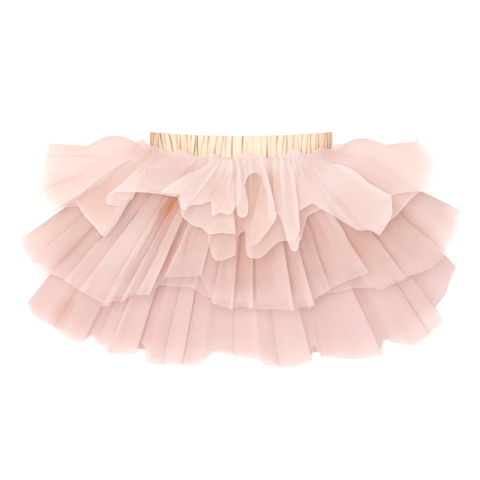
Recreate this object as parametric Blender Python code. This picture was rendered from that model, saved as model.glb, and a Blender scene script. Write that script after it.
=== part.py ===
"""A tutu skirt laid flat on its back: a gathered waistband with three tiers of tulle, all sewn in below it.

X runs across the skirt, Y from the hems towards the waist, and Z up from the surface that it lies on.
Each tier is a front half and a back half, which meet at the skirt's sides. The six halves lie on each
other, and each one's height at a place is that of all the halves under it there.
"""

import math
from collections import namedtuple

import bmesh
import bpy

MM = 0.001

# The waistband: a casing over elastic, flattened.
WAIST_WIDTH = 0.200
BAND_HEIGHT = 0.022
BAND_GATHERS = 26  # on each side
GATHER_DEPTH = 0.0005
BAND_SLIT = 0.0005  # between the band's front and back walls
BAND_DIP = 0.0044  # how far the middle lies below the ends, towards the hems
SEAM_Y = 0.1065  # of the seam under the band, at its ends

# The tulle.
WALL_AT_SEAM = 0.0014
WALL_AT_HEM = 0.0022
SEAM_GAP = 0.0003  # between pieces where they are sewn together
LOFT = 0.0013  # extra air between the halves away from the seam
LOFT_START, LOFT_END = 0.004, 0.050  # distances from the seam where that air and the thicker wall grow
SIDE_CLEAR, SIDE_EASE = 0.016, 0.040  # a half counts fully so far out from its sides, and then less
HEM_CLEAR, HEM_EASE = 0.003, 0.030  # and the same past its hem
CROWN = 0.045  # the width over which the flutes grow in from a side seam
ROW_SPREAD = 1.35  # rows of faces are closer together near the waist
PUFF = 0.026  # how far the tulle at the sides swells towards the waist on its way out
PUFF_SPREAD = 6  # and how soon that fades for tulle that runs less sideways

# A row for each large fold of a hem, from the wearer's right to the left, in millimetres.
# rise is 0 in a trough and 1 on a ridge.
Fold = namedtuple("Fold", "x y rise")

TOP_FRONT = [
    Fold(-212, 116, 0.0), Fold(-220, 103, 0.4), Fold(-218, 84, 0.8), Fold(-221, 64, 0.2),
    Fold(-209, 42, 0.7), Fold(-178, 36, 0.2), Fold(-147, 14, 0.7), Fold(-129, 34, 0.3),
    Fold(-98, 50, 0.9), Fold(-68, 42, 0.3), Fold(-50, 24, 0.9), Fold(-33, 2, 0.3),
    Fold(-14, -7, 1.0), Fold(2, 6, 0.3), Fold(18, -7, 1.0), Fold(38, 5, 0.3),
    Fold(56, 0, 0.9), Fold(73, 34, 0.3), Fold(94, 42, 0.9), Fold(126, 21, 0.3),
    Fold(148, 16, 0.8), Fold(164, 40, 0.3), Fold(197, 62, 0.8), Fold(208, 82, 0.3),
    Fold(214, 104, 0.6), Fold(193, 120, 0.0),
]
MIDDLE_FRONT = [
    Fold(-243, 14, 0.0), Fold(-241, -2, 0.6), Fold(-226, -16, 0.2), Fold(-214, -31, 0.7),
    Fold(-197, -33, 0.3), Fold(-176, -46, 0.8), Fold(-146, -62, 0.3), Fold(-124, -54, 0.9),
    Fold(-100, -50, 0.3), Fold(-77, -34, 0.9), Fold(-50, -34, 0.3), Fold(-31, -58, 0.9),
    Fold(-8, -68, 0.3), Fold(14, -65, 0.9), Fold(34, -66, 0.3), Fold(58, -63, 0.9),
    Fold(80, -61, 0.3), Fold(104, -43, 0.9), Fold(129, -30, 0.3), Fold(147, -44, 0.8),
    Fold(174, -34, 0.3), Fold(205, -20, 0.8), Fold(225, -1, 0.3), Fold(236, 21, 0.6),
    Fold(242, 46, 0.0),
]
BOTTOM_FRONT = [
    Fold(-235, -59, 0.0), Fold(-222, -76, 0.6), Fold(-199, -87, 0.2), Fold(-186, -95, 0.7),
    Fold(-165, -97, 0.3), Fold(-142, -112, 0.8), Fold(-118, -109, 0.3), Fold(-101, -122, 0.9),
    Fold(-66, -126, 0.4), Fold(-42, -124, 0.9), Fold(-29, -115, 0.3), Fold(6, -117, 0.9),
    Fold(22, -123, 0.3), Fold(46, -129, 0.9), Fold(77, -119, 0.3), Fold(95, -120, 0.8),
    Fold(126, -117, 0.3), Fold(155, -113, 0.8), Fold(166, -102, 0.3), Fold(187, -104, 0.7),
    Fold(218, -79, 0.3), Fold(222, -52, 0.6), Fold(236, -18, 0.0),
]
TOP_BACK = [
    Fold(-212, 116, 0.0), Fold(-216, 92, 1.0), Fold(-209, 66, 0.0), Fold(-192, 44, 1.0),
    Fold(-160, 28, 0.0), Fold(-124, 20, 1.0), Fold(-86, 6, 0.0), Fold(-44, 4, 1.0),
    Fold(-4, -4, 0.0), Fold(40, -2, 1.0), Fold(82, 8, 0.0), Fold(122, 14, 1.0),
    Fold(160, 32, 0.0), Fold(190, 56, 1.0), Fold(206, 90, 0.0), Fold(193, 120, 0.0),
]
MIDDLE_BACK = [
    Fold(-243, 14, 0.0), Fold(-234, -6, 1.0), Fold(-214, -22, 0.0), Fold(-186, -34, 1.0),
    Fold(-152, -48, 0.0), Fold(-112, -52, 1.0), Fold(-70, -58, 0.0), Fold(-26, -56, 1.0),
    Fold(20, -62, 0.0), Fold(64, -58, 1.0), Fold(106, -50, 0.0), Fold(146, -42, 1.0),
    Fold(186, -26, 0.0), Fold(220, -2, 1.0), Fold(242, 46, 0.0),
]
BOTTOM_BACK = [
    Fold(-235, -59, 0.0), Fold(-214, -74, 1.0), Fold(-186, -86, 0.0), Fold(-150, -98, 1.0),
    Fold(-110, -110, 0.0), Fold(-68, -112, 1.0), Fold(-24, -110, 0.0), Fold(22, -116, 1.0),
    Fold(68, -114, 0.0), Fold(112, -110, 1.0), Fold(152, -100, 0.0), Fold(188, -90, 1.0),
    Fold(214, -66, 0.0), Fold(236, -18, 0.0),
]

# From the surface up. flute is the height of the tallest fold at the hem. rows counts the faces from
# waist to hem, and steps those between two folds.
Half = namedtuple("Half", "name folds flute rows steps")
HALVES = [
    Half("top_tier_back", TOP_BACK, 0.0, 6, 2),
    Half("middle_tier_back", MIDDLE_BACK, 0.0012, 7, 2),
    Half("bottom_tier_back", BOTTOM_BACK, 0.0012, 8, 2),
    Half("bottom_tier_front", BOTTOM_FRONT, 0.015, 8, 2),
    Half("middle_tier_front", MIDDLE_FRONT, 0.020, 8, 2),
    Half("top_tier_front", TOP_FRONT, 0.034, 7, 2),
]

BAND_COLOUR = (0.96, 0.74, 0.56)
TULLE_COLOURS = {
    "top": (0.91, 0.72, 0.67),
    "middle": (0.87, 0.64, 0.59),
    "bottom": (0.84, 0.60, 0.56),
}


def eased(low, high, value):
    """0 below low, 1 above high, and a smooth step between them."""
    share = min(max((value - low) / (high - low), 0.0), 1.0)
    return share * share * (3 - 2 * share)


def seam_y(x):
    """The seam's place along Y: it dips in the middle."""
    return SEAM_Y - BAND_DIP * max(0.0, 1 - (2 * x / WAIST_WIDTH) ** 2)


def seam_distance(x, y):
    """How far a place is from the seam under the band."""
    nearest = min(max(x, -WAIST_WIDTH / 2), WAIST_WIDTH / 2)
    return math.hypot(x - nearest, y - seam_y(nearest))


def inside_sides(folds, x, y):
    """How far a place is inside the nearer of a half's two side seams, and below 0 outside them."""
    distances = []
    for fold, side in ((folds[0], -1), (folds[-1], 1)):
        seam_x = side * WAIST_WIDTH / 2
        run_x, run_y = fold.x * MM - seam_x, fold.y * MM - SEAM_Y
        off_x, off_y = x - seam_x, y - SEAM_Y
        if off_x * run_x + off_y * run_y < 0:  # under the waist, where the side seam doesn't reach
            distances.append(math.hypot(off_x, off_y))
        else:
            distances.append(side * (run_y * off_x - run_x * off_y) / math.hypot(run_x, run_y))
    return min(distances)


def reach(folds):
    """The largest distance of a hem from the seam."""
    return max(seam_distance(fold.x * MM, fold.y * MM) for fold in folds)


def wall(x, y):
    grown = eased(LOFT_START, LOFT_END, seam_distance(x, y))
    return WALL_AT_SEAM + (WALL_AT_HEM - WALL_AT_SEAM) * grown


def flute_height(half, x, y):
    """The height of a full ridge of this half over a full trough at a place."""
    along = min(seam_distance(x, y) / reach(half.folds), 1.0)
    return half.flute * along ** 1.3 * eased(0.0, CROWN, inside_sides(half.folds, x, y))


def presence(half, x, y):
    """1 where this half lies, easing to 0 past its edges."""
    at_sides = eased(-SIDE_EASE, -SIDE_CLEAR, inside_sides(half.folds, x, y))
    past_hem = seam_distance(x, y) - reach(half.folds)
    return at_sides * (1 - eased(HEM_CLEAR, HEM_EASE, past_hem))


def height_under(index, x, y):
    """The height of all the halves that lie under one at a place."""
    total = 0.0
    for half in HALVES[:index]:
        loft = SEAM_GAP + LOFT * eased(LOFT_START, LOFT_END, seam_distance(x, y))
        total += presence(half, x, y) * (wall(x, y) + loft + flute_height(half, x, y))
    return total


def between(before, start, end, after, share):
    """A smooth curve through start and end (Catmull-Rom)."""
    return 0.5 * (
        2 * start
        + (end - before) * share
        + (2 * before - 5 * start + 4 * end - after) * share ** 2
        + (3 * start - before - 3 * end + after) * share ** 3
    )


def hem_point(folds, place):
    """The hem's x, y and rise at a place counted in folds."""
    index = min(int(place), len(folds) - 2)
    share = place - index
    start, end = folds[index], folds[index + 1]
    before, after = folds[max(index - 1, 0)], folds[min(index + 2, len(folds) - 1)]
    x = between(before.x, start.x, end.x, after.x, share)
    y = between(before.y, start.y, end.y, after.y, share)
    rise = start.rise + (end.rise - start.rise) * (1 - math.cos(math.pi * share)) / 2
    return x * MM, y * MM, rise


def waist_shares(folds):
    """Where each fold starts on the waist, as a share of its width: the hem's length, gathered evenly."""
    lengths = [0.0]
    for start, end in zip(folds, folds[1:]):
        lengths.append(lengths[-1] + math.hypot(end.x - start.x, end.y - start.y))
    return [length / lengths[-1] for length in lengths]


def cloth_point(index, place, down):
    """A point on the underside of a half: place runs along the hem in folds, down from 0 at the waist to 1."""
    folds = HALVES[index].folds
    hem_x, hem_y, rise = hem_point(folds, place)
    shares = waist_shares(folds)
    start = min(int(place), len(folds) - 2)
    share = shares[start] + (shares[start + 1] - shares[start]) * (place - start)
    waist_x = (share - 0.5) * (WAIST_WIDTH + 2 * SEAM_GAP)
    waist_y = seam_y(waist_x) - SEAM_GAP
    sideways = abs(hem_x - waist_x) / math.hypot(hem_x - waist_x, hem_y - waist_y)
    x = waist_x + (hem_x - waist_x) * down
    y = waist_y + (hem_y - waist_y) * down
    beyond = max(0.0, abs(x) - WAIST_WIDTH / 2) / (abs(hem_x) - WAIST_WIDTH / 2)
    if beyond > 0:
        y += PUFF * sideways ** PUFF_SPREAD * math.sin(math.pi * beyond) * (1 - beyond)
    return x, y, height_under(index, x, y) + flute_height(HALVES[index], x, y) * rise


def make_material(name, colour, roughness):
    material = bpy.data.materials.new(name)
    material.use_nodes = True
    shader = material.node_tree.nodes["Principled BSDF"]
    shader.inputs["Base Color"].default_value = (*colour, 1.0)
    shader.inputs["Roughness"].default_value = roughness
    shader.inputs["Metallic"].default_value = 0.0
    material.diffuse_color = (*colour, 1.0)
    return material


def add_piece(name, mesh, material, collection, holder):
    mesh.materials.append(material)
    mesh.shade_smooth()
    piece = bpy.data.objects.new(name, mesh)
    piece.parent = holder
    collection.objects.link(piece)
    return piece


def tier_half(index):
    """A grid bent to the half's underside, then thickened straight up, so that no two halves can cross."""
    half = HALVES[index]
    grid = bmesh.new()
    columns = (len(half.folds) - 1) * half.steps
    bmesh.ops.create_grid(grid, x_segments=columns, y_segments=half.rows, size=1.0)
    for point in grid.verts:
        place = (point.co.x + 1) / 2 * (len(half.folds) - 1)
        down = ((1 - point.co.y) / 2) ** ROW_SPREAD
        point.co = cloth_point(index, place, down)
    bmesh.ops.triangulate(grid, faces=grid.faces[:])
    made = bmesh.ops.extrude_face_region(grid, geom=grid.faces[:])
    for point in made["geom"]:
        if isinstance(point, bmesh.types.BMVert):
            point.co.z += wall(point.co.x, point.co.y)
    bmesh.ops.recalc_face_normals(grid, faces=grid.faces[:])
    mesh = bpy.data.meshes.new(half.name)
    grid.to_mesh(mesh)
    grid.free()
    return mesh


def band_loop(y_share, wide, thick, gathered):
    """One closed loop round the flattened band: along its front from left to right, then back behind."""
    points = []
    side_points = 2 * BAND_GATHERS
    for step in range(2 * side_points):
        turn = math.pi * (step + 0.5) / side_points
        x = -math.cos(turn) * wide / 2
        # The ends are round, and the faces between them flat.
        flatness = math.copysign(abs(math.sin(turn)) ** 0.35, math.sin(turn))
        ridge = GATHER_DEPTH * (step % 2) if gathered else 0.0
        z = (thick / 2 - ridge) * flatness
        points.append((x, seam_y(x) + BAND_HEIGHT * y_share, z))
    return points


def waistband():
    """The casing as a ring: an outer and an inner wall, joined along its two edges."""
    thick = height_under(len(HALVES), 0.0, seam_y(0.0)) - SEAM_GAP
    shares = (0.0, 0.12, 0.88, 1.0)
    slims = (0.94, 1.0, 1.0, 0.94)  # the casing's edges are a little thinner than its middle
    loops = [band_loop(share, WAIST_WIDTH, thick * slim, True) for share, slim in zip(shares, slims)]
    hollow = WAIST_WIDTH - (thick - BAND_SLIT)
    loops += [band_loop(share, hollow, BAND_SLIT, False) for share in (1.0, 0.0)]
    band = bmesh.new()
    rings = [[band.verts.new((x, y, z + thick / 2)) for x, y, z in loop] for loop in loops]
    count = len(rings[0])
    for ring, following in zip(rings, rings[1:] + rings[:1]):
        for step in range(count):
            after = (step + 1) % count
            band.faces.new((ring[step], ring[after], following[after], following[step]))
    bmesh.ops.recalc_face_normals(band, faces=band.faces[:])
    mesh = bpy.data.meshes.new("waistband")
    band.to_mesh(mesh)
    band.free()
    return mesh


def centre(pieces, holder):
    """Moves the whole skirt so that the origin is under the middle of its box."""
    corners = [vertex.co for piece in pieces for vertex in piece.data.vertices]
    for axis in (0, 1):
        values = [corner[axis] for corner in corners]
        holder.location[axis] = -(min(values) + max(values)) / 2


def main():
    for old in list(bpy.data.objects):
        bpy.data.objects.remove(old)
    collection = bpy.data.collections.new("tutu_skirt")
    bpy.context.scene.collection.children.link(collection)
    holder = bpy.data.objects.new("skirt", None)
    collection.objects.link(holder)
    satin = make_material("satin", BAND_COLOUR, 0.38)
    pieces = [add_piece("waistband", waistband(), satin, collection, holder)]
    for index, half in enumerate(HALVES):
        colour = TULLE_COLOURS[half.name.split("_")[0]]
        tulle = make_material(half.name, colour, 0.8)
        pieces.append(add_piece(half.name, tier_half(index), tulle, collection, holder))
    centre(pieces, holder)


main()
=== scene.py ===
import math
import bpy
import numpy as np
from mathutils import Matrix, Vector


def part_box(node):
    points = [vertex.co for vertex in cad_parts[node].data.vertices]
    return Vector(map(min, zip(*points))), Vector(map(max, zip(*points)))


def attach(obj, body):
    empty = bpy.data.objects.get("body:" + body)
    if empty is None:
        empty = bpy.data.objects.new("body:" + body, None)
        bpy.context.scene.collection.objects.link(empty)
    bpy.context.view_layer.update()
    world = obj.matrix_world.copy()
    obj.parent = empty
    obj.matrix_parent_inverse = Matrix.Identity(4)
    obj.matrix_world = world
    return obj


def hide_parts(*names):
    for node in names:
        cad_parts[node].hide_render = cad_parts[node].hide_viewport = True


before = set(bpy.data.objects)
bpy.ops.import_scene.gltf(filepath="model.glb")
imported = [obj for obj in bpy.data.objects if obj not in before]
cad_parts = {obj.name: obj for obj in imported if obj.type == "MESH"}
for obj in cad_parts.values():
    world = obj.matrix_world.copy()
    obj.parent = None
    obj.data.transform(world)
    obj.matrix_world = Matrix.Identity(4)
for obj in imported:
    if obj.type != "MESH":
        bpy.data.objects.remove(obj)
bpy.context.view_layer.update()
mm = 0.001
tau = 2 * math.pi


# sums on sockets, so that a finish reads as an expression
class Wire:
    def __init__(self, finish, socket):
        self.finish = finish
        self.socket = socket

    def mathNode(self, operation, first, second):
        return self.finish.add("ShaderNodeMath", {"operation": operation}, {0: first, 1: second})

    def __add__(self, other):
        return self.mathNode("ADD", self, other)

    def __radd__(self, other):
        return self.mathNode("ADD", other, self)

    def __sub__(self, other):
        return self.mathNode("SUBTRACT", self, other)

    def __rsub__(self, other):
        return self.mathNode("SUBTRACT", other, self)

    def __mul__(self, other):
        return self.mathNode("MULTIPLY", self, other)

    def __rmul__(self, other):
        return self.mathNode("MULTIPLY", other, self)

    def __pow__(self, other):
        return self.mathNode("POWER", self, other)

    def limited(self, low=0.0, high=1.0):
        return self.finish.add("ShaderNodeClamp", {}, {"Value": self, "Min": low, "Max": high})


class Finish:
    def __init__(self, name):
        self.material = bpy.data.materials.new(name)
        self.material.use_nodes = True
        self.tree = self.material.node_tree
        self.tree.nodes.clear()

    def add(self, kind, settings=None, sockets=None, out=0):
        node = self.tree.nodes.new(kind)
        for name, value in (settings or {}).items():
            if name == "stops":
                for stop, (place, colour) in zip(node.color_ramp.elements, value):
                    stop.position = place
                    stop.color = colour
            else:
                setattr(node, name, value)
        for name, value in (sockets or {}).items():
            if isinstance(value, Wire):
                self.tree.links.new(value.socket, node.inputs[name])
            else:
                node.inputs[name].default_value = value
        return Wire(self, node.outputs[out]) if node.outputs else None

    def mixColour(self, share, first, second):
        # a Mix node set to colours takes them in its sockets 6 and 7, and gives one from socket 2
        return self.add("ShaderNodeMix", {"data_type": "RGBA"}, {0: share, 6: first, 7: second}, out=2)

    def noise(self, place, scale, detail=2.0, roughness=0.5):
        return self.add("ShaderNodeTexNoise", {}, {"Vector": place, "Scale": scale, "Detail": detail,
                                                   "Roughness": roughness}, out="Fac")

    def stretched(self, place, x, y, z=1.0):
        return self.add("ShaderNodeVectorMath", {"operation": "MULTIPLY"}, {0: place, 1: (x, y, z)})

    def painted(self, name):
        # what the mesh stores under this name at each of its points
        return self.add("ShaderNodeAttribute", {"attribute_name": name}, out="Fac")

    def show(self, shader):
        self.add("ShaderNodeOutputMaterial", {}, {"Surface": shader})
        return self.material


def putInScene(name, data):
    thing = bpy.data.objects.new(name, data)
    bpy.context.scene.collection.objects.link(thing)
    return thing


# how the cloth lies, as the frame has it
lie = {
    "bandHeight": 22.0,      # of the waistband, in millimetres
    "wallAtSeam": 1.4,       # of each half tier, with its plies
    "wallAtHem": 2.2,
    "seamGap": 0.3,
    "loft": 1.3,             # air between half tiers away from the seam
    "loftEnd": 50.0,
    "sideEase": (16.0, 40.0),
    "hemEase": (3.0, 30.0),
    "crown": 45.0,           # the flutes grow in over this width from a side
    "headDrop": 3.0,         # the tulle's head lies this much lower at the middle of the waist
    "swell": (14.5, 11),     # of the side tulle past the band's right and left ends
    "swellEnd": 0.62,        # how far out that swell ends, as a share of the way to the hem
    "seamEnd": 4.0,          # the wall and the air start to grow this far below the seam
}

bandLow, bandHigh = (np.array(corner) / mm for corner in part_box("waistband"))
midX = (bandLow[0] + bandHigh[0]) / 2
waistHalf = 100.0            # half of the flat waist, along the seam
seamEndY = bandHigh[1] - lie["bandHeight"]
seamDip = bandHigh[1] - bandLow[1] - lie["bandHeight"]


def eased(low, high, value):
    share = np.clip((value - low) / (high - low), 0.0, 1.0)
    return share * share * (3 - 2 * share)


def seamY(x):
    return seamEndY - seamDip * np.maximum(0.0, 1 - (x / waistHalf) ** 2)


def seamDistance(x, y):
    nearest = np.clip(x, -waistHalf, waistHalf)
    return np.hypot(x - nearest, y - seamY(nearest))


def insideSides(rows, x, y):
    nearest = None
    for (cornerX, cornerY, _), side in ((rows[0], -1), (rows[-1], 1)):
        runX, runY = cornerX - side * waistHalf, cornerY - seamEndY
        offX, offY = x - side * waistHalf, y - seamEndY
        across = side * (runY * offX - runX * offY) / math.hypot(runX, runY)
        behind = offX * runX + offY * runY < 0
        found = np.where(behind, np.hypot(offX, offY), across)
        nearest = found if nearest is None else np.minimum(nearest, found)
    return nearest


# The frame's own hems, from the wearer's right to the left, in millimetres: how far across, how far up,
# and the rise, from 0 in a trough to 1 on a ridge. The corners are the side seams.
topFront = [
    (-212, 116, 0.0), (-220, 103, 0.4), (-218, 84, 0.8), (-221, 64, 0.2),
    (-209, 42, 0.7), (-178, 36, 0.2), (-147, 14, 0.7), (-129, 34, 0.3),
    (-98, 50, 0.9), (-68, 42, 0.3), (-50, 24, 0.9), (-33, 2, 0.3),
    (-14, -7, 1.0), (2, 6, 0.3), (18, -7, 1.0), (38, 5, 0.3),
    (56, 0, 0.9), (73, 34, 0.3), (94, 42, 0.9), (126, 21, 0.3),
    (148, 16, 0.8), (164, 40, 0.3), (197, 62, 0.8), (208, 82, 0.3),
    (214, 104, 0.6), (193, 120, 0.0),
]
middleFront = [
    (-243, 14, 0.0), (-241, -2, 0.6), (-226, -16, 0.2), (-214, -31, 0.7),
    (-197, -33, 0.3), (-176, -46, 0.8), (-146, -62, 0.3), (-124, -54, 0.9),
    (-100, -50, 0.3), (-77, -34, 0.9), (-50, -34, 0.3), (-31, -58, 0.9),
    (-8, -68, 0.3), (14, -65, 0.9), (34, -66, 0.3), (58, -63, 0.9),
    (80, -61, 0.3), (104, -43, 0.9), (129, -30, 0.3), (147, -44, 0.8),
    (174, -34, 0.3), (205, -20, 0.8), (225, -1, 0.3), (236, 21, 0.6),
    (242, 46, 0.0),
]
bottomFront = [
    (-235, -59, 0.0), (-222, -76, 0.6), (-199, -87, 0.2), (-186, -95, 0.7),
    (-165, -97, 0.3), (-142, -112, 0.8), (-118, -109, 0.3), (-101, -122, 0.9),
    (-66, -126, 0.4), (-42, -124, 0.9), (-29, -115, 0.3), (6, -117, 0.9),
    (22, -123, 0.3), (46, -129, 0.9), (77, -119, 0.3), (95, -120, 0.8),
    (126, -117, 0.3), (155, -113, 0.8), (166, -102, 0.3), (187, -104, 0.7),
    (218, -79, 0.3), (222, -52, 0.6), (236, -18, 0.0),
]
topBack = [
    (-212, 116, 0.0), (-216, 92, 1.0), (-209, 66, 0.0), (-192, 44, 1.0),
    (-160, 28, 0.0), (-124, 20, 1.0), (-86, 6, 0.0), (-44, 4, 1.0),
    (-4, -4, 0.0), (40, -2, 1.0), (82, 8, 0.0), (122, 14, 1.0),
    (160, 32, 0.0), (190, 56, 1.0), (206, 90, 0.0), (193, 120, 0.0),
]
middleBack = [
    (-243, 14, 0.0), (-234, -6, 1.0), (-214, -22, 0.0), (-186, -34, 1.0),
    (-152, -48, 0.0), (-112, -52, 1.0), (-70, -58, 0.0), (-26, -56, 1.0),
    (20, -62, 0.0), (64, -58, 1.0), (106, -50, 0.0), (146, -42, 1.0),
    (186, -26, 0.0), (220, -2, 1.0), (242, 46, 0.0),
]
bottomBack = [
    (-235, -59, 0.0), (-214, -74, 1.0), (-186, -86, 0.0), (-150, -98, 1.0),
    (-110, -110, 0.0), (-68, -112, 1.0), (-24, -110, 0.0), (22, -116, 1.0),
    (68, -114, 0.0), (112, -110, 1.0), (152, -100, 0.0), (188, -90, 1.0),
    (214, -66, 0.0), (236, -18, 0.0),
]

# from the floor up: the rows, and the height of the tallest fold at the hem
halves = [
    (topBack, 0.0), (middleBack, 1.2), (bottomBack, 1.2),
    (bottomFront, 15.0), (middleFront, 20.0), (topFront, 34.0),
]


def reach(rows):
    return max(float(seamDistance(x, y)) for x, y, _ in rows)


def wall(x, y):
    grown = eased(lie["seamEnd"], lie["loftEnd"], seamDistance(x, y))
    return lie["wallAtSeam"] + (lie["wallAtHem"] - lie["wallAtSeam"]) * grown


def foldRoom(rows, flute, x, y):
    along = np.minimum(seamDistance(x, y) / reach(rows), 1.0)
    return flute * along ** 1.3 * eased(0.0, lie["crown"], insideSides(rows, x, y))


def heightUnder(level, x, y):
    total = np.zeros_like(x)
    distance = seamDistance(x, y)
    for rows, flute in halves[:level]:
        atSides = eased(-lie["sideEase"][1], -lie["sideEase"][0], insideSides(rows, x, y))
        present = atSides * (1 - eased(*lie["hemEase"], distance - reach(rows)))
        loft = lie["seamGap"] + lie["loft"] * eased(lie["seamEnd"], lie["loftEnd"], distance)
        total += present * (wall(x, y) + loft + foldRoom(rows, flute, x, y))
    return total


# The folds of each ply's hem, walked from the wearer's right side seam to the left one, in millimetres:
# across, up, rise from 0 in a trough to 1 on a ridge, the tuck laid over at that place (under 0 where the
# right hand panel lies on top), and where that cloth is gathered at the waist, if it isn't spread evenly.
topOuter = [
    (-210, 117, 0.0, 0, -100), (-218, 105, 0.5, 0), (-220, 85, 0.9, 0), (-220, 66, 0.5, 0),
    (-224, 61, 0.4, 0), (-213, 46, 0.8, 0), (-209, 38, 1.0, 0, -98), (-180, 52, 0.3, 0),
    (-171, 39, 0.3, 0), (-159, 26, 0.35, 0), (-147, 12, 0.55, 0, -95), (-134, 31, 0.3, 0),
    (-141, 42, 0.1, 0), (-124, 46, 0.1, 0, -92), (-146, 50, 0.75, 0), (-144, 61, 1.0, 0, -88),
    (-116, 61, 0.85, 0), (-89, 61, 0.75, 0), (-68, 57, 0.3, 0, -32), (-78, 61, 0.6, 0),
    (-90, 63, 0.95, 0, -24), (-66, 60, 1.0, 0), (-66, 47, 1.1, 0, -23), (-61, 41, 1.0, 0),
    (-56, 49, 0.9, 0), (-43, 50, 0.95, 0), (-33, 54, 0.8, 0, -16), (-32, 36, 1.0, 0),
    (-23, 41, 0.95, 0), (-12, 37, 1.0, 0), (-5, 49, 0.9, 0, -8), (1, 64, 0.7, 0),
    (0, 52, 0.9, 0), (-4, 44, 1.05, 0, -5), (-4, 36, 1.1, 0), (2, 33, 1.1, 0, -3),
    (7, 37, 1.1, 0), (8, 50, 1.0, 0), (4, 66, 0.8, 0, 0), (6, 77, 1.1, 0),
    (11, 83, 1.3, 0), (18, 83, 1.35, 0, 8), (24, 76, 1.15, 0), (27, 62, 0.95, 0, 17), (35, 48, 1.0, 0),
    (39, 34, 1.05, 0, 25), (28, 19, 0.6, 0), (18, 8, 0.35, 0), (6, 4, 0.25, 0, 30),
    (20, 24, 0.15, 0), (40, 40, 0.4, 0), (44, 33, 0.9, 0, 40), (50, 12, 1.0, 0),
    (54, 0, 1.0, 0), (58, -4, 1.0, 0, 48), (62, 1, 1.0, 0), (62, 16, 0.95, 0),
    (58, 38, 0.5, 0, 54), (78, 52, 0.85, 0), (88, 44, 0.8, 0), (108, 32, 0.6, 0),
    (128, 21, 0.75, 0), (136, 21, 0.4, 0), (148, 14, 0.75, 0), (158, 28, 0.85, 0), (164, 40, 0.95, 0),
    (163, 60, 1.2, 0, 76), (150, 55, 0.2, 0), (170, 62, 0.5, 0, 90), (200, 62, 0.8, 0),
    (203, 71, 0.9, 0), (210, 85, 1.0, 0), (216, 106, 0.6, 0), (194, 121, 0.0, 0, 100),
]
topUnder = [
    (-210, 117, 0.0, 0, -100), (-216, 98, 0.3, 0), (-217, 70, 0.2, 0), (-207, 49, 0.4, 0),
    (-190, 46, 0.2, 0), (-176, 47, 0.1, 0), (-163, 30, 0.3, 0), (-148, 19, 0.4, 0, -92),
    (-136, 30, 0.3, 0), (-138, 48, 0.2, 0), (-112, 64, 0.15, 0), (-84, 66, 0.1, 0, -50),
    (-68, 58, 0.3, 0), (-63, 35, 0.5, 0, -26), (-50, 26, 0.45, 0), (-43, 25, 0.45, 0),
    (-35, 15, 0.5, 0), (-20, 18, 0.45, 0), (-5, 16, 0.5, 0, -12), (-18, 30, 0.1, 0),
    (-36, 20, 0.05, 0), (-32, -6, 0.1, 0, -9), (-27, -12, 0.15, 0), (-16, -11, 0.1, 0),
    (-7, -7, 0.15, 0), (-5, 16, 0.05, 0, -4), (4, 22, 0.05, 0), (6, -1, 0.3, 0, 2),
    (9, -8, 0.35, 0), (19, -9, 0.4, 0), (31, 1, 0.3, 0, 24), (41, 9, 0.35, 0),
    (51, 9, 0.3, 0), (64, 8, 0.3, 0), (72, 36, 0.15, 0), (93, 46, 0.1, 0, 62),
    (120, 28, 0.3, 8), (146, 20, 0.3, 0), (166, 36, 0.2, 0), (186, 57, 0.3, 0),
    (204, 72, 0.35, 0), (211, 98, 0.3, 0), (194, 121, 0.0, 0, 100),
]
middleOuter = [
    (-243, 14, 0.0, 0), (-245, 0, 0.4, 0), (-230, -15, 0.6, -6), (-217, -30, 0.5, 0),
    (-205, -28, 0.4, -8), (-190, -36, 0.7, -10), (-173, -46, 0.6, -12), (-158, -53, 0.5, 0),
    (-147, -62, 0.8, -13), (-129, -57, 0.6, -11), (-112, -49, 0.7, -9), (-101, -50, 0.9, 7),
    (-94, -46, 0.1, 0), (-80, -29, 1.0, -13), (-62, -28, 0.6, 0), (-44, -27, 1.0, 8),
    (-37, -46, 0.4, 0), (-30, -60, 0.6, -9), (-10, -67, 0.7, 7), (2, -62, 0.3, 0),
    (10, -65, 0.7, 10), (28, -64, 0.4, 0), (44, -64, 0.7, 0), (56, -67, 0.8, 9),
    (66, -64, 0.4, 0), (77, -63, 0.9, 11), (85, -50, 0.4, 0), (96, -44, 0.6, 7),
    (114, -35, 0.7, 0), (132, -22, 1.1, 18), (138, -38, 0.4, 0), (150, -45, 0.45, 0),
    (164, -38, 0.5, 0), (180, -32, 0.6, 5), (194, -26, 0.5, 0), (208, -19, 0.55, 0),
    (224, -4, 0.5, 3), (237, 20, 0.5, 0), (242, 46, 0.0, 0),
]
middleUnder = [
    (-243, 14, 0.0, 0), (-243, -1, 0.3, 0), (-228, -18, 0.2, 8), (-212, -28, 0.3, 0),
    (-192, -40, 0.2, -10), (-168, -46, 0.3, 0), (-144, -57, 0.2, -9), (-118, -50, 0.3, 0),
    (-98, -44, 0.2, 9), (-76, -42, 0.3, 0), (-52, -46, 0.2, -10), (-26, -60, 0.3, 0),
    (-2, -61, 0.2, 10), (26, -61, 0.3, 0), (60, -61, 0.2, 0), (90, -53, 0.3, 10),
    (118, -47, 0.2, 0), (146, -43, 0.3, 0), (172, -36, 0.2, 0), (200, -26, 0.3, 10),
    (222, -7, 0.2, 0), (235, 18, 0.3, 0), (242, 46, 0.0, 0),
]
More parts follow.
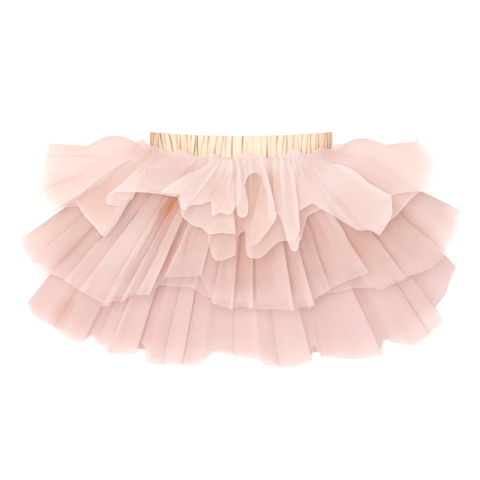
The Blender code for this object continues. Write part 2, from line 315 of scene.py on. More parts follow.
bottomOuter = [
    (-235, -59, 0.0, 0), (-230, -70, 0.4, 0), (-214, -80, 0.6, 0), (-200, -88, 0.8, -16),
    (-184, -98, 0.5, 0), (-171, -101, 0.6, 0), (-164, -90, 0.1, 0), (-159, -105, 0.5, -5),
    (-144, -113, 0.7, -9), (-128, -115, 0.5, 0), (-116, -114, 0.6, 0), (-113, -101, 0.1, 0),
    (-104, -109, 0.3, 0), (-103, -124, 0.7, 0), (-84, -126, 0.5, -6), (-66, -127, 0.7, 9),
    (-46, -127, 0.5, 0), (-40, -123, 0.6, 0), (-32, -114, 0.3, 0), (-8, -116, 0.5, -5),
    (12, -118, 0.4, 0), (20, -119, 0.7, 0), (25, -126, 0.6, 0), (42, -130, 0.5, -6),
    (58, -129, 0.6, 0), (77, -121, 0.7, 6), (81, -104, 0.1, 0), (88, -121, 0.6, 6),
    (112, -120, 0.4, 0), (136, -117, 0.6, 0), (156, -114, 0.8, 5), (158, -94, 0.1, 0),
    (167, -104, 0.5, 0), (187, -106, 0.6, 0), (204, -94, 0.5, 9), (221, -79, 0.6, 0),
    (213, -62, 0.3, 0), (225, -44, 0.5, 0), (236, -18, 0.0, 0),
]
bottomUnder = [
    (-235, -59, 0.0, 0), (-228, -69, 0.2, 0), (-212, -78, 0.3, 0), (-198, -86, 0.2, 9),
    (-182, -95, 0.3, 0), (-170, -96, 0.2, 0), (-163, -91, 0.1, 0), (-154, -102, 0.2, -8),
    (-138, -110, 0.3, 0), (-118, -110, 0.2, 0), (-113, -101, 0.1, 0), (-102, -108, 0.2, 0),
    (-100, -121, 0.3, 8), (-78, -123, 0.2, 0), (-58, -124, 0.3, -9), (-42, -120, 0.2, 0),
    (-33, -112, 0.2, 0), (-10, -113, 0.3, 0), (14, -115, 0.2, 0), (24, -121, 0.3, 0),
    (40, -127, 0.2, -8), (62, -126, 0.3, 0), (76, -117, 0.2, 0), (81, -104, 0.1, 0),
    (94, -117, 0.3, 8), (120, -117, 0.2, 0), (152, -112, 0.3, 0), (158, -95, 0.1, 0),
    (172, -101, 0.3, 8), (188, -103, 0.2, 0), (206, -91, 0.3, 0), (217, -77, 0.2, 0),
    (210, -60, 0.2, 0), (222, -43, 0.3, 0), (236, -18, 0.0, 0),
]


# how every ply is folded and gathered, in millimetres or as shares
folding = {
    "fineStep": 0.5,             # between the points that a hem is first worked out on
    "waistRoundness": 9.0,       # softens where along the waist the cloth is gathered
    "backRise": 0.8,             # of the back's folds, against the frame's
    "hemLift": 0.8,              # of a flute's height, as it counts towards the hem's length
    "tuckIn": 2.0,               # the lower fold of a tuck is drawn in by this
    "leastRise": 0.02,
    "rowPower": 1.15,            # over 1, the rows are closer together near the waist
    "gatherWidths": (0.5, 1.5),  # against the mean
    "turnedBack": 0.2,           # of the gathers lie the other way
    "hemWaves": 70,              # round the hem, and so on for the next three
    "strayWaves": 36,
    "billowWaves": 90,
    "puffWaves": 34,
    "sideSwell": 6,              # the power that keeps the swell to cloth that runs sideways
    "headEnd": 0.24,             # the head's gathers are calmed down to here
    "nearEnd": 26.0,             # the least room under a front ply is reached this far down
    "gapDrop": 3.0,              # a gap between folds is this deep
    "moundEnd": 0.13,            # the head's mounds reach down to here, and its puffs to the next
    "puffEnd": 0.42,
    "moundLeast": 1.5,           # up over the band, where there is no mound
    "moundLift": 1.2,
    "puffLift": 3.6,
    "puffUneven": 0.4,
    "overBand": 0.9,             # clear of the waistband's front
    "onFloor": 0.05,
}


def withTucks(rows, tuckDrop):
    # each tuck becomes two folds: one on top, and one under it, drawn in a little
    points = []
    last = len(rows) - 1
    for place, row in enumerate(rows):
        x, y, rise, tuck = row[:4]
        waist = row[4] if len(row) > 4 else np.nan
        if not tuck:
            points.append((x, y, rise, waist))
            continue
        before, after = rows[max(place - 1, 0)], rows[min(place + 1, last)]
        runX, runY = after[0] - before[0], after[1] - before[1]
        run = math.hypot(runX, runY)
        stepX, stepY = runX / run * abs(tuck) / 2, runY / run * abs(tuck) / 2
        inX, inY = -runY / run * folding["tuckIn"], runX / run * folding["tuckIn"]
        low = max(rise - tuckDrop, folding["leastRise"])
        if tuck > 0:
            points.append((x + stepX, y + stepY, rise, waist))
            points.append((x - stepX + inX, y - stepY + inY, low, waist))
        else:
            points.append((x + stepX + inX, y + stepY + inY, low, waist))
            points.append((x - stepX, y - stepY, rise, waist))
    return points


def smoothed(values, step, width):
    # a closed run of values, softened over a width
    waves = np.fft.rfftfreq(len(values), step)
    soft = np.exp(-2 * (math.pi * width * waves) ** 2)
    return np.fft.irfft(np.fft.rfft(values, axis=0) * soft[:, None], len(values), axis=0)


def runLengths(closed, lift):
    # the length along a closed run of folds up to each of its points
    steps = np.diff(closed[:, :3], axis=0) * (1.0, 1.0, lift)
    return np.concatenate([[0], np.cumsum(np.linalg.norm(steps, axis=1))])


def resampled(wanted, lengths, closed):
    return np.stack([np.interp(wanted, lengths, column) for column in closed.T], 1)


def roundHem(ply, lift, rng):
    # columns: across, up, rise, layer from 0 at the back to 1 in front, share of the way round the waist
    front = withTucks(ply["rows"], ply["tuckDrop"])
    back = [(x, y, rise * folding["backRise"], np.nan) for x, y, rise in ply["back"][-2:0:-1]]
    points = np.array(front + back, float)
    closed = np.vstack([points, points[:1]])
    lengths = runLengths(closed, lift)
    shares = np.full(len(closed), np.nan)
    shares[:len(front)] = (points[:len(front), 3] / waistHalf + 1) / 4
    shares[0], shares[len(front) - 1], shares[-1] = 0.0, 0.5, 1.0
    known = ~np.isnan(shares)
    shares = np.interp(lengths, lengths[known], shares[known])
    layer = np.zeros(len(closed))
    layer[:len(front)] = 1.0
    layer[[0, len(front) - 1, -1]] = 0.5
    fineStep = folding["fineStep"]
    fine = np.arange(0, lengths[-1], fineStep)
    curve = resampled(fine, lengths, np.column_stack([closed[:, :3], layer, shares]))
    # the share of the waist climbs by 1 round the ring, so it is softened with that climb taken out
    curve[:, 4] -= fine / lengths[-1]
    curve = np.hstack([smoothed(curve[:, :4], fineStep, ply["roundness"]),
                       smoothed(curve[:, 4:], fineStep, folding["waistRoundness"])])
    curve[:, 4] += fine / lengths[-1]
    for way in (0, 1):
        curve[:, way] += ply["wavy"] * softRandom(rng, fine / lengths[-1], folding["hemWaves"])

    # the same ring in even steps of its true length
    closed = np.vstack([curve, curve[:1]])
    closed[-1, 4] += 1.0
    lengths = runLengths(closed, lift)
    wanted = np.linspace(0, lengths[-1], ply["columns"], endpoint=False)
    return resampled(wanted, lengths, closed), lengths[-1]


def softRandom(rng, places, knots):
    # smooth random values from -1 to 1 round a closed strip
    values = rng.uniform(-1, 1, knots)
    at = places * knots
    start = np.floor(at).astype(int)
    share = at - start
    share = share * share * (3 - 2 * share)
    return values[start % knots] * (1 - share) + values[(start + 1) % knots] * share


def shoulder(x, hemX, sideways):
    # the swell of the side cloth past the band's ends
    beyond = np.clip((np.abs(x) - waistHalf) / np.maximum(np.abs(hemX) - waistHalf, 1.0), 0, 1)
    hump = np.sin(math.pi * np.minimum(1.0, beyond / lie["swellEnd"]))
    return np.where(x < 0, *lie["swell"]) * sideways ** folding["sideSwell"] * hump


def swayFor(held):
    # how far a gather sways, against its own width, to take up that many times its length, near enough
    bend, atBend, fall = 1.07, 0.2, 3.65
    return np.where(held < bend, atBend * (held - 1) / (bend - 1), atBend + (held - bend) / fall)


def gapShades(gaps, x, y, layer):
    # how deep each point is in the painted shade of a gap between folds, under 0 in the painted light of a
    # lit panel, and how warm that painted shade is
    shade = np.zeros_like(x)
    shadeWarmth = np.zeros_like(x)
    for atX, atY, wide, long, deep, warmShade in gaps:
        # the cloth falls away from the waist, towards the side that it hangs on
        fall = np.array([atX - np.clip(atX, -waistHalf, waistHalf) * 0.6, atY - seamEndY])
        fall = fall / np.linalg.norm(fall)
        along = (x - atX) * fall[0] + (y - atY) * fall[1]
        across = (y - atY) * fall[0] - (x - atX) * fall[1]
        found = deep * layer * np.exp(-(across / wide) ** 2 - (along / long) ** 2)
        shade = shade + found
        shadeWarmth = np.maximum(shadeWarmth, found * warmShade)
    return np.clip(shade, -1.0, 1.0), shadeWarmth


def plyMesh(name, ply):
    rng = np.random.default_rng(ply["seed"])
    columns, rowCount = ply["columns"], ply["rowCount"]
    frontLevel, backLevel = ply["levels"]
    hem, stripWidth = roundHem(ply, halves[frontLevel][1] * folding["hemLift"], rng)
    hemX, hemY, rise, layer, share = hem.T
    around = np.arange(columns) / columns
    waistX = waistHalf * np.where(share <= 0.5, share * 4 - 1, 3 - share * 4)
    seamAt = seamY(waistX)
    hemX = waistX + (hemX - waistX) * ply["length"]
    hemY = seamAt + (hemY - seamAt) * ply["length"]
    down = (np.linspace(0, 1, rowCount) ** folding["rowPower"])[:, None]
    startAt = seamAt - lie["headDrop"] * (1 - (waistX / waistHalf) ** 2)
    x = waistX + (hemX - waistX) * down
    y = startAt + (hemY - startAt) * down
    sideways = np.abs(hemX - waistX) / np.hypot(hemX - waistX, hemY - seamAt)
    y = y + shoulder(x, hemX, sideways)

    # small gathers hold the cloth that the narrow end of each row has no room for
    alongX = (np.roll(x, -1, 1) - np.roll(x, 1, 1)) / 2
    alongY = (np.roll(y, -1, 1) - np.roll(y, 1, 1)) / 2
    step = np.hypot(alongX, alongY) + 1e-6
    held = np.clip(ply["hold"] * stripWidth / step.sum(1), 1.0, ply["mostHeld"])[:, None]
    count = ply["gathers"]
    widths = rng.uniform(*folding["gatherWidths"], count)
    edges = np.concatenate([[0], np.cumsum(widths)]) / widths.sum()
    turns = np.interp(around, edges, np.arange(count + 1))
    turn = turns * tau
    side = np.where(rng.uniform(0, 1, count) < folding["turnedBack"], -1.0, 1.0)
    side = side[np.minimum(turns.astype(int), count - 1)] * np.where(x[-1] < 0, -1.0, 1.0)
    pitch = step * columns / count * np.interp(around, (edges[1:] + edges[:-1]) / 2, widths)
    strayed = ply["stray"] * softRandom(rng, around, folding["strayWaves"]) * np.sin(math.pi * down)
    calm = 1 - ply["sideCalm"] * sideways ** 3
    for at, wide, part in ply["smooth"]:
        calm = calm * (1 - part * layer * np.exp(-((waistX - at) / wide) ** 4))
    headCalm = 1 - ply["headCalm"] * (layer * (1 - eased(0.0, folding["headEnd"], down)))
    sway = pitch * swayFor(held) * calm * headCalm * np.sin(turn) + strayed
    x = x + alongX / step * sway
    y = y + alongY / step * sway
    ripple = ply["ripple"] * calm * headCalm * (held - 1) / (ply["mostHeld"] - 1) * side * np.sin(turn)

    # the folds rise as far as the frame gives them room
    sides = eased(0.0, lie["crown"], insideSides(ply["front"], x, y))
    roomFront = foldRoom(ply["front"], halves[frontLevel][1], x, y)
    nearRoom = ply["nearRoom"] * eased(0, folding["nearEnd"], seamDistance(x, y)) * sides
    roomFront = np.maximum(roomFront, nearRoom)
    roomBack = foldRoom(ply["back"], halves[backLevel][1], x, y)
    soft = rise + ply["billow"] * softRandom(rng, around, folding["billowWaves"]) * down
    liftFront = heightUnder(frontLevel, x, y) + roomFront * np.clip(soft, 0, 1.4)
    liftBack = heightUnder(backLevel, x, y) + roomBack * rise
    z = liftBack + (liftFront - liftBack) * layer + wall(x, y) * ply["depthInWall"] + ripple
    # painted shade in the gaps between folds and painted light on the lit panels, for the finish; the gaps
    # also sink a little
    shade, shadeWarmth = gapShades(ply["gaps"], x, y, layer)
    z = z - folding["gapDrop"] * np.maximum(shade, 0.0)
    if "headMounds" in ply:
        # the gathered head of the tulle puffs up in soft mounds over the band's lower edge
        near = np.clip(down / folding["moundEnd"], 0, 1)
        far = np.clip(down / folding["puffEnd"], 0, 1)
        puffs = 1 + folding["puffUneven"] * softRandom(rng, around, folding["puffWaves"])
        mounds = sum(tall * np.exp(-((waistX - at) / wide) ** 2) for at, tall, wide in ply["headMounds"])
        y = y + (folding["moundLeast"] + mounds) * np.sin(math.pi * near ** 0.8) * layer
        z = z + (folding["puffLift"] * np.sin(math.pi * far ** 0.7) * puffs
                 + folding["moundLift"] * np.sin(math.pi * near)) * layer
        onBand = (y > seamY(x) - lie["headDrop"] - 1) & (layer > 0.5) & (near > 0.05)
        clear = bandHigh[2] + folding["overBand"] + 0.3 * np.sin(turn)
        z = np.where(onBand, np.maximum(z, clear), z)
    z = np.maximum(z, folding["onFloor"])

    points = np.stack([x + midX, y, z], 2).reshape(-1, 3) * mm
    index = np.arange(rowCount * columns).reshape(rowCount, columns)
    right = np.roll(index, -1, 1)
    faces = np.stack([index[:-1], index[1:], right[1:], right[:-1]], 2).reshape(-1, 4)
    mesh = bpy.data.meshes.new(name)
    mesh.from_pydata(points, [], faces.tolist())
    mesh.shade_smooth()

    # how steep the cloth stands, how far off its cut edge is, and how thickly it is gathered
    grid = points.reshape(rowCount, columns, 3)
    acrossStep = (np.roll(grid, -1, 1) - np.roll(grid, 1, 1)) / 2
    normal = np.cross(acrossStep, np.gradient(grid, axis=0))
    upright = np.abs(normal[..., 2]) / (np.linalg.norm(normal, axis=2) + 1e-12)
    runLength = np.cumsum(np.linalg.norm(np.diff(grid, axis=0, prepend=grid[:1]), axis=2), axis=0)
    setValues(mesh, "steep", 1 - upright)
    setValues(mesh, "toHem", (runLength[-1] - runLength) / mm)
    setValues(mesh, "thickly", 1 - np.clip(step * columns / stripWidth, 0, 1))
    setValues(mesh, "shade", shade)
    setValues(mesh, "shadeWarmth", shadeWarmth)
    setValues(mesh, "head", ply["headSheer"] * layer * (1 - eased(0.05, 0.35, down)))
    setValues(mesh, "atSide", 1 - eased(0.0, 42.0, insideSides(ply["front"], x, y)))
    # the folds' rise, which the finish darkens towards the troughs as painted shade
    setValues(mesh, "crest", np.clip(soft, 0, 1.3) * np.broadcast_to(down, x.shape) ** 0.3)

    # the strip's length is measured square to its hem
    stripWidth = stripWidth * mm
    alongHem = acrossStep[-1] / (np.linalg.norm(acrossStep[-1], axis=1)[:, None] + 1e-12)
    squareRun = np.linalg.norm(np.cross(np.diff(grid, axis=0), alongHem), axis=2).sum(0)
    length = float(squareRun.mean())
    cut = np.stack([np.broadcast_to(around * stripWidth, runLength.shape), runLength], 2).reshape(-1, 2)
    setCut(mesh, cut, stripWidth, columns)
    print(name, "strip", round(stripWidth, 3), "x", round(length, 3), "m,", len(faces) * 2, "triangles")
    return mesh, stripWidth, length


def setValues(mesh, name, values):
    store = mesh.attributes.new(name, "FLOAT", "POINT")
    store.data.foreach_set("value", values.reshape(-1).astype(np.float32))


def setCut(mesh, cut, width, columns):
    # the flat strip as a UV map, in metres; the last column of faces closes the ring at its full width
    layer = mesh.uv_layers.new(name="cut")
    corners = np.empty(len(mesh.loops), np.int32)
    mesh.loops.foreach_get("vertex_index", corners)
    quads = cut[corners].reshape(-1, 4, 2)
    closing = (np.arange(len(quads)) % columns) == columns - 1
    wrapped = quads[..., 0] < width / 2
    quads[..., 0] += np.where(closing[:, None] & wrapped, width, 0.0)
    layer.data.foreach_set("uv", quads.reshape(-1).astype(np.float32))


def makeTulle(name, look):
    finish = Finish(name)
    cut = finish.add("ShaderNodeUVMap", {"uv_map": "cut"})
    steep = finish.painted("steep")
    toHem = finish.painted("toHem")
    thickly = finish.painted("thickly")
    crest = finish.painted("crest")
    shade = finish.painted("shade")
    shadeWarmth = finish.painted("shadeWarmth")
    head = finish.painted("head")
    atSide = finish.painted("atSide")
    streaks = finish.noise(finish.stretched(cut, *look["streaks"]), 1.0, 2.0)
    clouds = finish.noise(cut, look["clouds"], 2.0)
    edge = (1 - toHem * (1 / look["edgeWidth"])).limited()
    nearHem = (1 - toHem * (1 / look["fadeWidth"])).limited()
    # painted shade that grows deeper in from the hem, under the tier above
    shadeDeepIn = ((toHem - look["depthFrom"]) * look["depthRate"]).limited()
    opacity = (look["cover"] + look["steepCover"] * steep ** 1.4 + look["gatherCover"] * thickly
               + look["edgeCover"] * edge - look["hemFade"] * nearHem + look["shadeCover"] * shade.limited()
               - look["sideFade"] * atSide - look["headFade"] * head
               + look["streakCover"] * (streaks - 0.5)).limited(*look["coverLimits"])
    # tone deepens the colour: painted shade in the valleys and deeper in under the tier above, with the
    # gathers' denser cloth and random clouds and streaks
    tone = (look["gatherTone"] * thickly + look["valleyShade"] * (look["crestAt"] - crest)
            + look["depthShade"] * shadeDeepIn + look["cloudTone"] * (clouds - 0.5)
            + look["streakTone"] * (streaks - 0.5)).limited()
    # paleness: a painted highlight on the cut edge and the steep fold walls, painted light near the hem, and
    # a paler side and head
    paleness = (look["edgeHighlight"] * edge + look["steepHighlight"] * steep + look["hemLit"] * nearHem
                + look["sidePale"] * atSide + look["headPale"] * head * (1 - atSide)).limited()
    colour = finish.mixColour(tone, look["colour"], look["deep"])
    colour = finish.mixColour(paleness, colour, look["pale"])
    # painted shade in the gaps between folds, painted light on the lit panels, and a warm painted shade deep
    # in some gaps
    colour = finish.mixColour(shade.limited(), colour, look["deep"])
    colour = finish.mixColour((shade * -1.0).limited(), colour, look["pale"])
    colour = finish.mixColour(shadeWarmth, colour, look["warmShade"])
    net = finish.add("ShaderNodeTexVoronoi", {"voronoi_dimensions": "2D", "feature": "DISTANCE_TO_EDGE"},
                     {"Vector": cut, "Scale": look["net"]}, out="Distance")
    bump = finish.add("ShaderNodeBump", {}, {"Height": net, "Strength": look["netBump"], "Distance": 0.0003})
    cloth = finish.add("ShaderNodeBsdfPrincipled", {}, {
        "Base Color": colour, "Roughness": look["roughness"], "Normal": bump, "Specular IOR Level": 0.25,
        # the cloth glows in its own colour: painted light for the light scattered between plies
        "Emission Color": colour, "Emission Strength": look["paintedGlow"],
        "Sheen Weight": look["sheen"], "Sheen Roughness": 0.5, "Sheen Tint": (1.0, 0.92, 0.90, 1.0)})
    through = finish.add("ShaderNodeBsdfTranslucent", {}, {"Color": look["through"]})
    lit = finish.add("ShaderNodeMixShader", {}, {0: look["glow"], 1: cloth, 2: through})
    clear = finish.add("ShaderNodeBsdfTransparent", {}, {"Color": look["tint"]})
    return finish.show(finish.add("ShaderNodeMixShader", {}, {0: opacity, 1: clear, 2: lit}))


tulleBase = {
    # how much each thing hides of what lies behind
    "cover": 0.62, "steepCover": 0.15, "gatherCover": 0.3, "edgeCover": 0.3, "shadeCover": 0.3,
    "hemFade": 0.2, "sideFade": 0.06, "headFade": 0.16, "streakCover": 0.14, "coverLimits": (0.05, 0.98),
    # in from the cut edge, in millimetres, and then for each millimetre
    "edgeWidth": 1.4, "fadeWidth": 24.0, "depthFrom": 30.0, "depthRate": 0.015,
    # how far each thing deepens the colour; in the valleys and deeper in under the tier above, that is
    # painted shade
    "valleyShade": 1.0, "crestAt": 0.8, "gatherTone": 0.45, "depthShade": 0.0, "cloudTone": 0.6,
    "streakTone": 0.5,
    # how far each makes it paler; at the cut edge and on steep fold walls that is a painted highlight, and
    # near the hem painted light
    "edgeHighlight": 0.75, "steepHighlight": 0.12, "hemLit": 0.6, "sidePale": 0.35, "headPale": 0.8,
    # cycles in a metre: streaks across and along the strip, clouds, and the holes of the net
    "streaks": (120.0, 6.0), "clouds": 16.0, "net": 800.0, "netBump": 0.12,
    # the light that comes through the cloth, and a glow in the cloth's own colour: painted light that stands
    # in for the light it scatters between its plies
    "glow": 0.26, "paintedGlow": 0.225, "roughness": 0.72, "sheen": 0.15,
    "tint": (1.0, 0.95, 0.94, 1), "warmShade": (0.58, 0.22, 0.10, 1),
}
topTulle = {
    **tulleBase, "colour": (0.79, 0.70, 0.67, 1), "through": (0.79, 0.67, 0.635, 1),
    "deep": (0.69, 0.46, 0.38, 1), "pale": (0.85, 0.80, 0.795, 1),
    "cover": 0.56, "gatherTone": 0.05, "gatherCover": 0.1, "hemFade": 0.0, "hemLit": 0.25,
    "streakTone": 0.35,
}
middleTulle = {
    **tulleBase, "colour": (0.775, 0.65, 0.615, 1), "through": (0.70, 0.52, 0.48, 1),
    "deep": (0.61, 0.39, 0.34, 1), "pale": (0.81, 0.73, 0.71, 1),
    "edgeCover": 0.15, "edgeHighlight": 0.4, "hemFade": 0.3, "hemLit": 0.8, "depthShade": 0.12,
}
bottomTulle = {
    **tulleBase, "colour": (0.76, 0.615, 0.59, 1), "through": (0.73, 0.57, 0.54, 1),
    "deep": (0.65, 0.46, 0.425, 1), "pale": (0.78, 0.66, 0.655, 1),
    "edgeCover": 0.1, "edgeHighlight": 0.2, "hemFade": -0.1, "hemLit": 0.2, "cover": 0.70, "depthShade": 0.2,
}

# gaps between folds that the light hardly reaches, and under 0 the panels that catch it: across, up, width,
# length along the fall of the cloth, depth and warmth
topGaps = [(-24, 62, 13, 16, 0.7, 0.0), (16, 68, 8, 14, 0.5, 0.2), (98, 74, 26, 20, -0.6, 0.0),
           (-120, 66, 20, 12, -0.3, 0.0)]
middleGaps = [(-76, 47, 6, 16, 1.0, 0.8), (-1, -2, 4.0, 46, 0.7, 0.1), (-150, 42, 6, 14, 0.4, 0.2),
              (84, 26, 8, 16, 0.5, 0.1), (126, 6, 9, 16, 0.45, 0.1), (0, 6, 62, 36, 0.65, 0.0),
              (122, 0, 46, 26, 0.5, 0.0), (-124, 4, 30, 40, -0.6, 0.0), (-125, -52, 20, 14, -0.6, 0.0),
              (-6, -58, 26, 12, -0.6, 0.0), (-17, -28, 2.4, 30, 0.45, 0.0), (14, -36, 2.4, 26, 0.4, 0.0),
              (31, -22, 3, 30, 0.4, 0.0), (-58, 8, 3, 24, 0.5, 0.2), (228, 16, 20, 26, -0.7, 0.0),
              (208, 52, 20, 24, -0.5, 0.0), (-222, 10, 16, 18, -0.3, 0.0)]
bottomGaps = [(-191, -64, 8, 20, 1.3, 0.15), (-195, -68, 30, 20, 0.3, 0.0), (-116, -72, 5, 12, 0.4, 0.0),
              (205, -82, 18, 18, -0.8, 0.0), (20, -90, 70, 24, -0.3, 0.0), (130, -88, 50, 22, -0.3, 0.0),
              (226, -40, 12, 24, -0.6, 0.0)]

# the mounds of the top tier's head: where round the front, how tall and how wide, in millimetres
headMounds = [(-101, 3, 6), (-92, 10, 10), (-63, 8, 9), (-32, 8, 8), (5, 6, 9), (23, 5, 6), (55, 10, 12),
              (84, 8, 8), (99, 5, 7)]

# What each ply starts from, in this order: points round it and down it; its length against the folds' tables;
# how far its hem is softened, how far the lower fold of a tuck drops, and how far the cloth waves and strays;
# the share of its cloth that the gathers hold, and the most times that they take up; how high the gathers
# and the billows stand; the least room under its front; how far the gathers are calmed at the sides and at
# the head; how sheer the head is; and places with gaps or with calmer gathers.
tierBase = {
    "columns": 1800, "rowCount": 36, "length": 1.0, "roundness": 2.4, "tuckDrop": 0.5, "wavy": 1.2,
    "stray": 3.0, "hold": 0.72, "mostHeld": 3.0, "ripple": 1.3, "billow": 0.10, "nearRoom": 0.0,
    "sideCalm": 0.0, "headCalm": 0.0, "headSheer": 0.0, "gaps": [], "smooth": [],
}
topShared = {
    **tierBase, "look": topTulle, "slot": "tulle_top",
    "nodes": ("top_tier_front", "top_tier_back"), "front": topFront, "back": topBack,
    "levels": (5, 0), "gaps": topGaps, "nearRoom": 9.0, "headSheer": 1.0,
}
middleShared = {
    **tierBase, "look": middleTulle, "slot": "tulle_middle",
    "nodes": ("middle_tier_front", "middle_tier_back"), "front": middleFront, "back": middleBack,
    "levels": (4, 1), "gaps": middleGaps, "roundness": 3.0, "tuckDrop": 0.45,
}
bottomShared = {
    **tierBase, "look": bottomTulle, "slot": "tulle_bottom",
    "nodes": ("bottom_tier_front", "bottom_tier_back"), "front": bottomFront, "back": bottomBack,
    "levels": (3, 2), "gaps": bottomGaps, "tuckDrop": 0.2, "wavy": 1.8,
}
plies = {
    "topTierOuterPly": {
        **topShared, "rows": topOuter, "seed": 11, "gathers": 52, "depthInWall": 0.9,
        "ripple": 1.8, "hold": 0.84, "mostHeld": 3.7, "sideCalm": 0.6, "headCalm": 0.75,
        "smooth": [(72, 16, 0.8), (-62, 22, 0.7), (4, 7, 0.9)], "headMounds": headMounds},
    "topTierUnderPly": {
        **topShared, "rows": topUnder, "seed": 12, "gathers": 90, "depthInWall": 0.2},
    "middleTierOuterPly": {
        **middleShared, "rows": middleOuter, "seed": 21, "gathers": 96, "depthInWall": 0.9},
    "middleTierUnderPly": {
        **middleShared, "rows": middleUnder, "seed": 22, "gathers": 92, "depthInWall": 0.2, "length": 0.98},
    "bottomTierOuterPly": {
        **bottomShared, "rows": bottomOuter, "seed": 31, "gathers": 96, "depthInWall": 0.9},
    "bottomTierUnderPly": {
        **bottomShared, "rows": bottomUnder, "seed": 32, "gathers": 92, "depthInWall": 0.2},
}
for name, ply in plies.items():
    mesh, stripWidth, stripLength = plyMesh(name, ply)
    mesh.materials.append(makeTulle(name, ply["look"]))
    piece = putInScene(name, mesh)
    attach(piece, "root")
    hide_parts(*ply["nodes"])
    area = sum(face.area for face in mesh.polygons)
    print(name, "holds", round(area / (stripWidth * stripLength), 3), "of its flat area")

# The band's creases, from the wearer's right to the left, in millimetres from the middle: where each one
# is, how far its top leans from its foot, how deep it is from 0 to 1, and its width.
bandCreases = [
    (-98.5, -0.5, 0.7, 0.6), (-96.0, 0.5, 0.9, 0.5), (-93.0, -1.5, 0.5, 0.7), (-90.5, 0.0, 0.8, 0.5),
    (-86.0, -5.0, 0.9, 0.7), (-82.5, -4.0, 0.4, 0.6), (-76.0, -6.0, 0.8, 0.7), (-69.5, -3.0, 0.5, 0.9),
    (-66.0, -1.0, 0.8, 0.6), (-62.0, 1.5, 0.5, 0.6), (-58.5, -1.0, 1.0, 0.6), (-55.0, 1.5, 0.7, 0.6),
    (-50.5, 2.5, 0.9, 0.7), (-47.5, 0.0, 1.0, 0.5), (-42.0, 4.0, 0.6, 0.6), (-36.0, 1.5, 0.8, 0.7),
    (-27.5, 4.5, 0.9, 0.7), (-20.5, 4.0, 0.8, 0.6), (-16.5, 1.0, 0.5, 0.9), (-9.5, 0.5, 0.9, 0.6),
    (2.0, 0.0, 1.0, 0.6), (6.5, 1.0, 0.3, 0.9), (14.0, 0.5, 0.4, 1.1), (22.5, -1.0, 0.5, 0.7),
    (29.0, 0.0, 1.0, 0.5), (33.0, 1.0, 0.4, 0.8), (39.5, 0.5, 0.8, 0.6), (46.5, 2.5, 0.5, 0.8),
    (50.0, 0.5, 0.7, 0.6), (57.5, 2.0, 0.8, 0.7), (63.5, -1.0, 0.4, 0.8), (67.0, 1.5, 0.8, 0.6),
    (73.0, 2.5, 0.6, 0.7), (76.5, 0.5, 0.9, 0.6), (82.5, 2.0, 0.6, 0.6), (85.5, -0.5, 0.8, 0.6),
    (89.0, 1.0, 0.4, 0.7), (92.0, 1.5, 0.8, 0.6), (95.0, 0.5, 0.9, 0.5), (98.0, 0.5, 0.7, 0.6),
]
bandLook = {
    "colour": (0.73, 0.54, 0.395, 1), "creaseShade": (0.44, 0.25, 0.13, 1), "pale": (0.85, 0.69, 0.54, 1),
    "columns": 1700, "rowCount": 30,
    "creaseDepth": 1.7,      # in millimetres, as are the next two
    "topDip": 0.7,           # of the band's top edge at a crease
    "wobble": 0.3,           # of a crease from side to side
    "creaseSpread": 1.2,     # against the width in the table
    "crown": 0.12,           # the band is thinner by this share at its two edges
    "flatness": 0.35,        # of the section: 1 is round, and near 0 is flat with square ends
    "inside": (0.96, 0.5, 0.02),   # places of the inner wall's rows, up the band
    "endShade": 0.65,         # how far the painted shade at the band's crowded ends deepens the colour
}


def bandMesh(look):
    columns, rowCount = look["columns"], look["rowCount"]
    thick = bandHigh[2] - bandLow[2]
    halfWidth = (bandHigh[0] - bandLow[0]) / 2
    turn = np.arange(columns) / columns * tau
    down = np.linspace(0, 1, rowCount)[:, None]
    acrossBand = -np.cos(turn) * halfWidth
    flat = np.sign(np.sin(turn)) * np.abs(np.sin(turn)) ** look["flatness"]
    creased = np.zeros((rowCount, columns))
    for place, lean, depth, width in bandCreases:
        # the back's creases are the front's, mirrored
        at = np.where(flat >= 0, place, -place) + lean * (down - 0.5)
        wobble = look["wobble"] * np.sin(down * (3 + 2 * math.sin(place)) + place)
        depth = depth * (0.75 + 0.25 * np.sin(down * 4 + place * 2))
        offCrease = (acrossBand - at - wobble) / (look["creaseSpread"] * width)
        creased = np.maximum(creased, depth * np.exp(-offCrease ** 2))
    swell = 1 - look["crown"] * (1 - np.sin(math.pi * down) ** 0.5)
    height = thick / 2 * swell - look["creaseDepth"] * creased * np.minimum(1, np.abs(flat) * 1.4)
    x = acrossBand * np.ones_like(down)
    y = seamY(x) - lie["headDrop"] + down * (lie["bandHeight"] + lie["headDrop"])
    y = y - look["topDip"] * creased * eased(0.85, 1.0, down)
    outer = np.stack([x + midX, y, height * flat + thick / 2 + bandLow[2]], 2)
    inner = []
    for share in look["inside"]:
        innerX = acrossBand * (halfWidth - thick / 2) / halfWidth
        inner.append(np.stack([innerX + midX, seamY(innerX) + share * lie["bandHeight"],
                               0.3 * flat + thick / 2 + bandLow[2]], 1))
    loops = np.concatenate([outer, np.array(inner)], 0)
    index = np.arange(len(loops) * columns).reshape(len(loops), columns)
    right = np.roll(index, -1, 1)
    faces = np.stack([index, right, np.roll(right, -1, 0), np.roll(index, -1, 0)], 2).reshape(-1, 4)
    mesh = bpy.data.meshes.new("waistbandCasing")
    mesh.from_pydata(loops.reshape(-1, 3) * mm, [], faces.tolist())
    mesh.shade_smooth()
    creases = np.zeros(loops.shape[:2])
    creases[:rowCount] = creased
    setValues(mesh, "creaseShade", creases)
    setValues(mesh, "atEnds", np.broadcast_to(np.abs(acrossBand / halfWidth) ** 5, creases.shape))
    return mesh


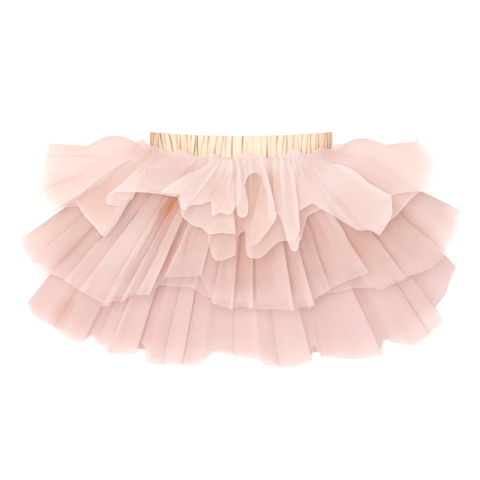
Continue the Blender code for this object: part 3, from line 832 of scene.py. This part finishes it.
def makeSatin(look):
    finish = Finish("satin")
    place = finish.add("ShaderNodeTexCoord", {}, out="Object")
    creaseShade = finish.painted("creaseShade")
    atEnds = finish.painted("atEnds")
    streaks = finish.noise(finish.stretched(place, 240.0, 26.0, 240.0), 1.0, 3.0)
    weave = finish.noise(finish.stretched(place, 900.0, 2600.0, 900.0), 1.0, 2.0)
    colour = finish.mixColour((streaks * 1.6 - 0.35).limited(), look["colour"], look["pale"])
    # painted shade: darker in the creases and in the crowded gathers at the band's ends
    shadeInCrease = (creaseShade * 1.35 - 0.12 + look["endShade"] * atEnds).limited()
    colour = finish.mixColour(shadeInCrease, colour, look["creaseShade"])
    bump = finish.add("ShaderNodeBump", {}, {"Height": weave, "Strength": 0.15, "Distance": 0.0002})
    return finish.show(finish.add("ShaderNodeBsdfPrincipled", {}, {
        "Base Color": colour, "Roughness": 0.42 + 0.15 * (streaks - 0.5), "Normal": bump,
        "Sheen Weight": 0.2, "Sheen Roughness": 0.4}))


casing = putInScene("waistbandCasing", bandMesh(bandLook))
casing.data.materials.append(makeSatin(bandLook))
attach(casing, "root")
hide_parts("waistband")
print("waistband made")

studio = {
    "view": 0.528,           # taken in across, in metres, as are the next five
    "away": 2.4,             # of the camera, straight above
    "aimX": -0.0006, "aimY": 0.0102,
    "floorHalf": 4.0, "floorDrop": 0.0004,
    "ambient": 0.90, "floorGlow": 0.64,
    "keyPower": 23.0, "keySize": 1.8, "keyPlace": (-0.6, 0.45, 1.75), "keyColour": (1.0, 0.98, 0.96),
}
across, below = studio["floorHalf"], -studio["floorDrop"]
floorCorners = [(x * across, y * across, below) for x, y in ((-1, -1), (1, -1), (1, 1), (-1, 1))]
floorMesh = bpy.data.meshes.new("floor")
floorMesh.from_pydata(floorCorners, [], [(0, 1, 2, 3)])
floor = putInScene("floor", floorMesh)
paper = Finish("paper")
grain = paper.noise(paper.add("ShaderNodeTexCoord", {}, out="Object"), 6.0, 2.0)
paperColour = paper.mixColour(grain, (0.36, 0.36, 0.36, 1), (0.39, 0.39, 0.39, 1))
floorMesh.materials.append(paper.show(paper.add("ShaderNodeBsdfPrincipled", {}, {
    "Base Color": paperColour, "Roughness": 0.9, "Specular IOR Level": 0.1,
    "Emission Color": (1, 1, 1, 1), "Emission Strength": studio["floorGlow"]})))

world = bpy.data.worlds.new("studio")
world.use_nodes = True
world.node_tree.nodes["Background"].inputs["Color"].default_value = (1, 1, 1, 1)
world.node_tree.nodes["Background"].inputs["Strength"].default_value = studio["ambient"]
bpy.context.scene.world = world

lamp = bpy.data.lights.new("keyLight", "AREA")
lamp.shape = "DISK"
lamp.size = studio["keySize"]
lamp.energy = studio["keyPower"]
lamp.color = studio["keyColour"]
keyLight = putInScene("keyLight", lamp)
keyLight.location = studio["keyPlace"]
keyLight.rotation_euler = (-Vector(studio["keyPlace"])).to_track_quat("-Z", "Y").to_euler()

camera = putInScene("camera", bpy.data.cameras.new("camera"))
camera.data.sensor_width = 36
camera.data.lens = 36 * studio["away"] / studio["view"]
camera.location = (studio["aimX"], studio["aimY"], studio["away"])
camera.data.clip_end = 20
bpy.context.scene.camera = camera

bpy.context.scene.view_settings.view_transform = "Standard"
bpy.context.scene.cycles.transparent_max_bounces = 64   # the sheer plies lie many deep
bpy.context.scene.cycles.max_bounces = 8
bpy.context.scene.cycles.diffuse_bounces = 4
print("studio set")
